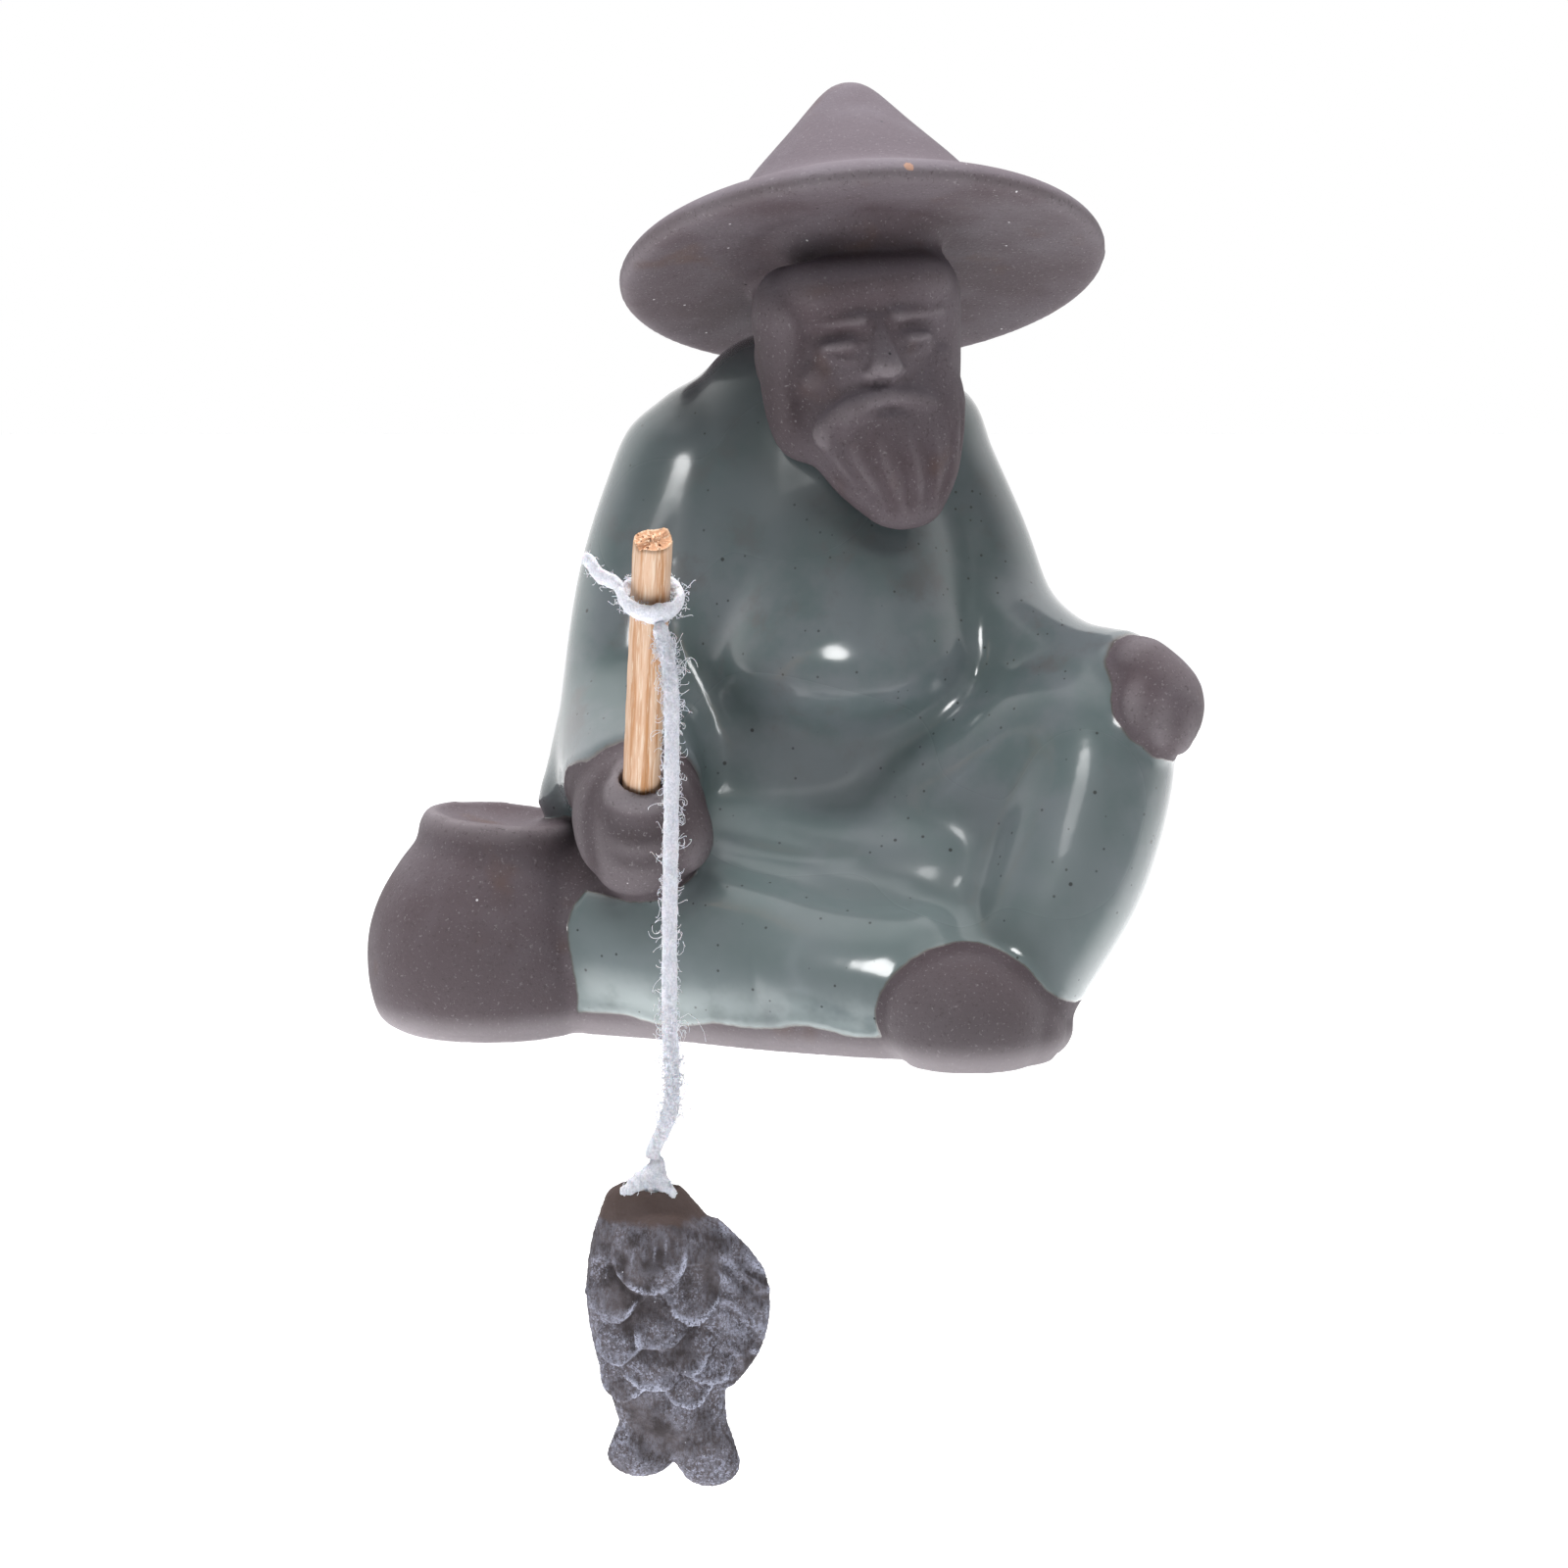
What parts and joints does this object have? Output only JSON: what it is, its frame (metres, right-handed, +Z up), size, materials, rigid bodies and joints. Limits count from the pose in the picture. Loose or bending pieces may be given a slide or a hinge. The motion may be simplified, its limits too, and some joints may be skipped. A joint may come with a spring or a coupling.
{
  "type": "ceramic fisherman figurine",
  "caption": "Seated fisherman in green glazed stoneware with a wide hat and creel, holding a bamboo rod whose yarn line dangles a clay fish over a ledge",
  "frame": {"origin": "In the plane of the flat underside, near its middle. The figure sits on a ledge with this face down, and the line hangs over the ledge's front edge.", "axes": "X to the viewer's right, Y to the back, Z up; the figure looks along -Y"},
  "size_m": [0.0628, 0.0513, 0.0997],
  "materials": {
    "figurine": "grey-green celadon glaze on the robe over bare purple-brown stoneware",
    "rod": "split bamboo, smooth sides and a rough sawn tip",
    "yarn": "white twisted cotton yarn with a soft fuzz",
    "fish": "bare dark stoneware, dusted chalky blue-white on the relief"
  },
  "bodies": {
    "figurine": {"figurine": "figurine", "rod": "rod"},
    "loop": {"line_loop": "yarn"},
    "catch": {"line": "yarn", "line_knot": "yarn", "fish": "fish"}
  },
  "joints": [
    {"name": "loop_turn", "type": "hinge", "parent": "figurine", "child": "loop", "pos_m": [-0.00936, -0.02746, 0.03544], "axis": [0.0563, -0.5851, 0.809], "range_deg": [-20, 20]},
    {"name": "line_swing", "type": "hinge", "parent": "loop", "child": "catch", "pos_m": [-0.00936, -0.02912, 0.03424], "axis": [1, 0, 0], "range_deg": [-45, 6]}
  ]
}
